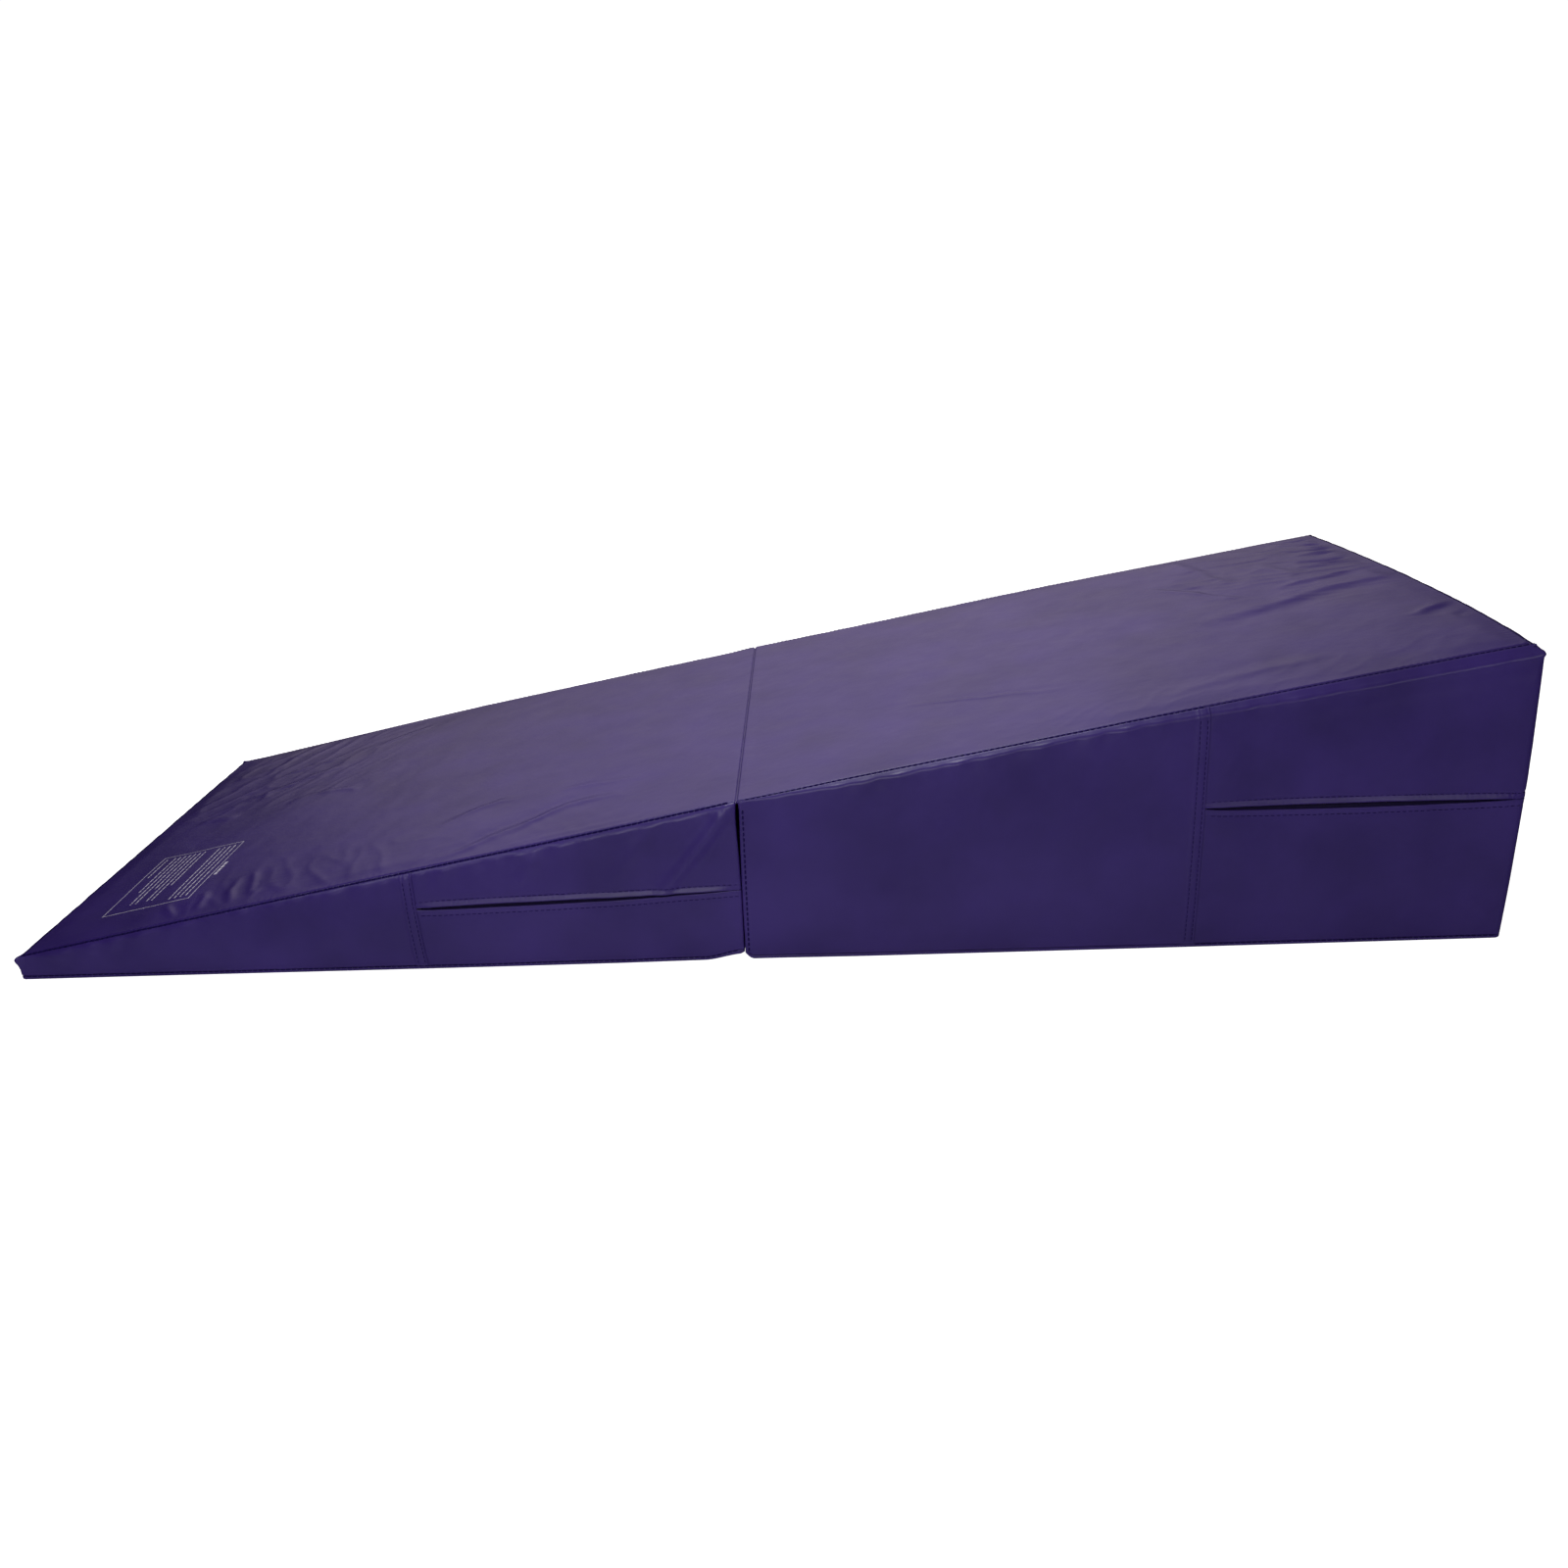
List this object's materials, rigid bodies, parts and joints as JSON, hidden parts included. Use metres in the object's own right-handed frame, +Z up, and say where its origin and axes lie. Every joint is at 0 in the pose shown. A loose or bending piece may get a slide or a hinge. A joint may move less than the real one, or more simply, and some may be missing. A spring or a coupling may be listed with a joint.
{
  "type": "incline wedge mat",
  "caption": "Folding incline wedge mat: a low and a tall foam wedge in zipped vinyl covers, hinged along the top so the low one flips over.",
  "frame": {"origin": "on the floor, at the middle of the laid-out mat's footprint", "axes": "+X along the ramp to the tall end, +Y to the far side where the zip sliders park, +Z up"},
  "size_m": [1.778, 0.7158, 0.356],
  "materials": {
    "vinyl": "satin indigo-purple coated vinyl with a fine grain",
    "hinge_vinyl": "satin vinyl reinforcement",
    "zip_tape": "woven polyester tape",
    "foam": "matte closed-cell foam",
    "zip_metal": "satin nickel plate",
    "stop_metal": "satin"
  },
  "bodies": {
    "high_section": {"high_foam_core": "foam", "high_top_panel": "vinyl", "high_bottom_panel": "vinyl", "high_fold_face_panel": "vinyl", "high_near_side_panel": "vinyl", "high_far_side_panel": "vinyl", "high_upper_zip_panel": "vinyl", "high_lower_zip_panel": "vinyl", "high_upper_zip_tape": "zip_tape", "high_lower_zip_tape": "zip_tape", "high_zip_start_stop": "stop_metal", "high_zip_end_stop": "stop_metal", "hinge_strip": "hinge_vinyl"},
    "low_section": {"low_foam_core": "foam", "low_top_panel": "vinyl", "low_bottom_panel": "vinyl", "low_nose_strip": "vinyl", "low_near_side_panel": "vinyl", "low_far_side_panel": "vinyl", "low_upper_zip_panel": "vinyl", "low_lower_zip_panel": "vinyl", "low_upper_zip_tape": "zip_tape", "low_lower_zip_tape": "zip_tape", "low_zip_start_stop": "stop_metal", "low_zip_end_stop": "stop_metal"},
    "low_zip_slider": {"low_zip_slider": "zip_metal"},
    "low_zip_pull": {"low_zip_pull": "zip_metal"},
    "high_zip_slider": {"high_zip_slider": "zip_metal"},
    "high_zip_pull": {"high_zip_pull": "zip_metal"}
  },
  "joints": [
    {"name": "fold", "type": "hinge", "parent": "high_section", "child": "low_section", "pos_m": [-0.006, 0, 0.2033], "axis": [0, 1, 0], "range_deg": [0, 180], "deforming": ["hinge_strip"]},
    {"name": "low_zip_slide", "type": "slide", "parent": "low_section", "child": "low_zip_slider", "axis": [0.9992, 0, 0.0388], "range_m": [0, 0.353]},
    {"name": "low_zip_pull_swing", "type": "hinge", "parent": "low_zip_slider", "child": "low_zip_pull", "pos_m": [-0.3815, 0.3579, 0.07849], "axis": [-0.0388, 0, 0.9992], "range_deg": [0, 180]},
    {"name": "high_zip_slide", "type": "slide", "parent": "high_section", "child": "high_zip_slider", "axis": [1, 0, 0], "range_m": [0, 0.32]},
    {"name": "high_zip_pull_swing", "type": "hinge", "parent": "high_zip_slider", "child": "high_zip_pull", "pos_m": [0.5425, 0.3579, 0.175], "axis": [0, 0, 1], "range_deg": [0, 180]}
  ]
}
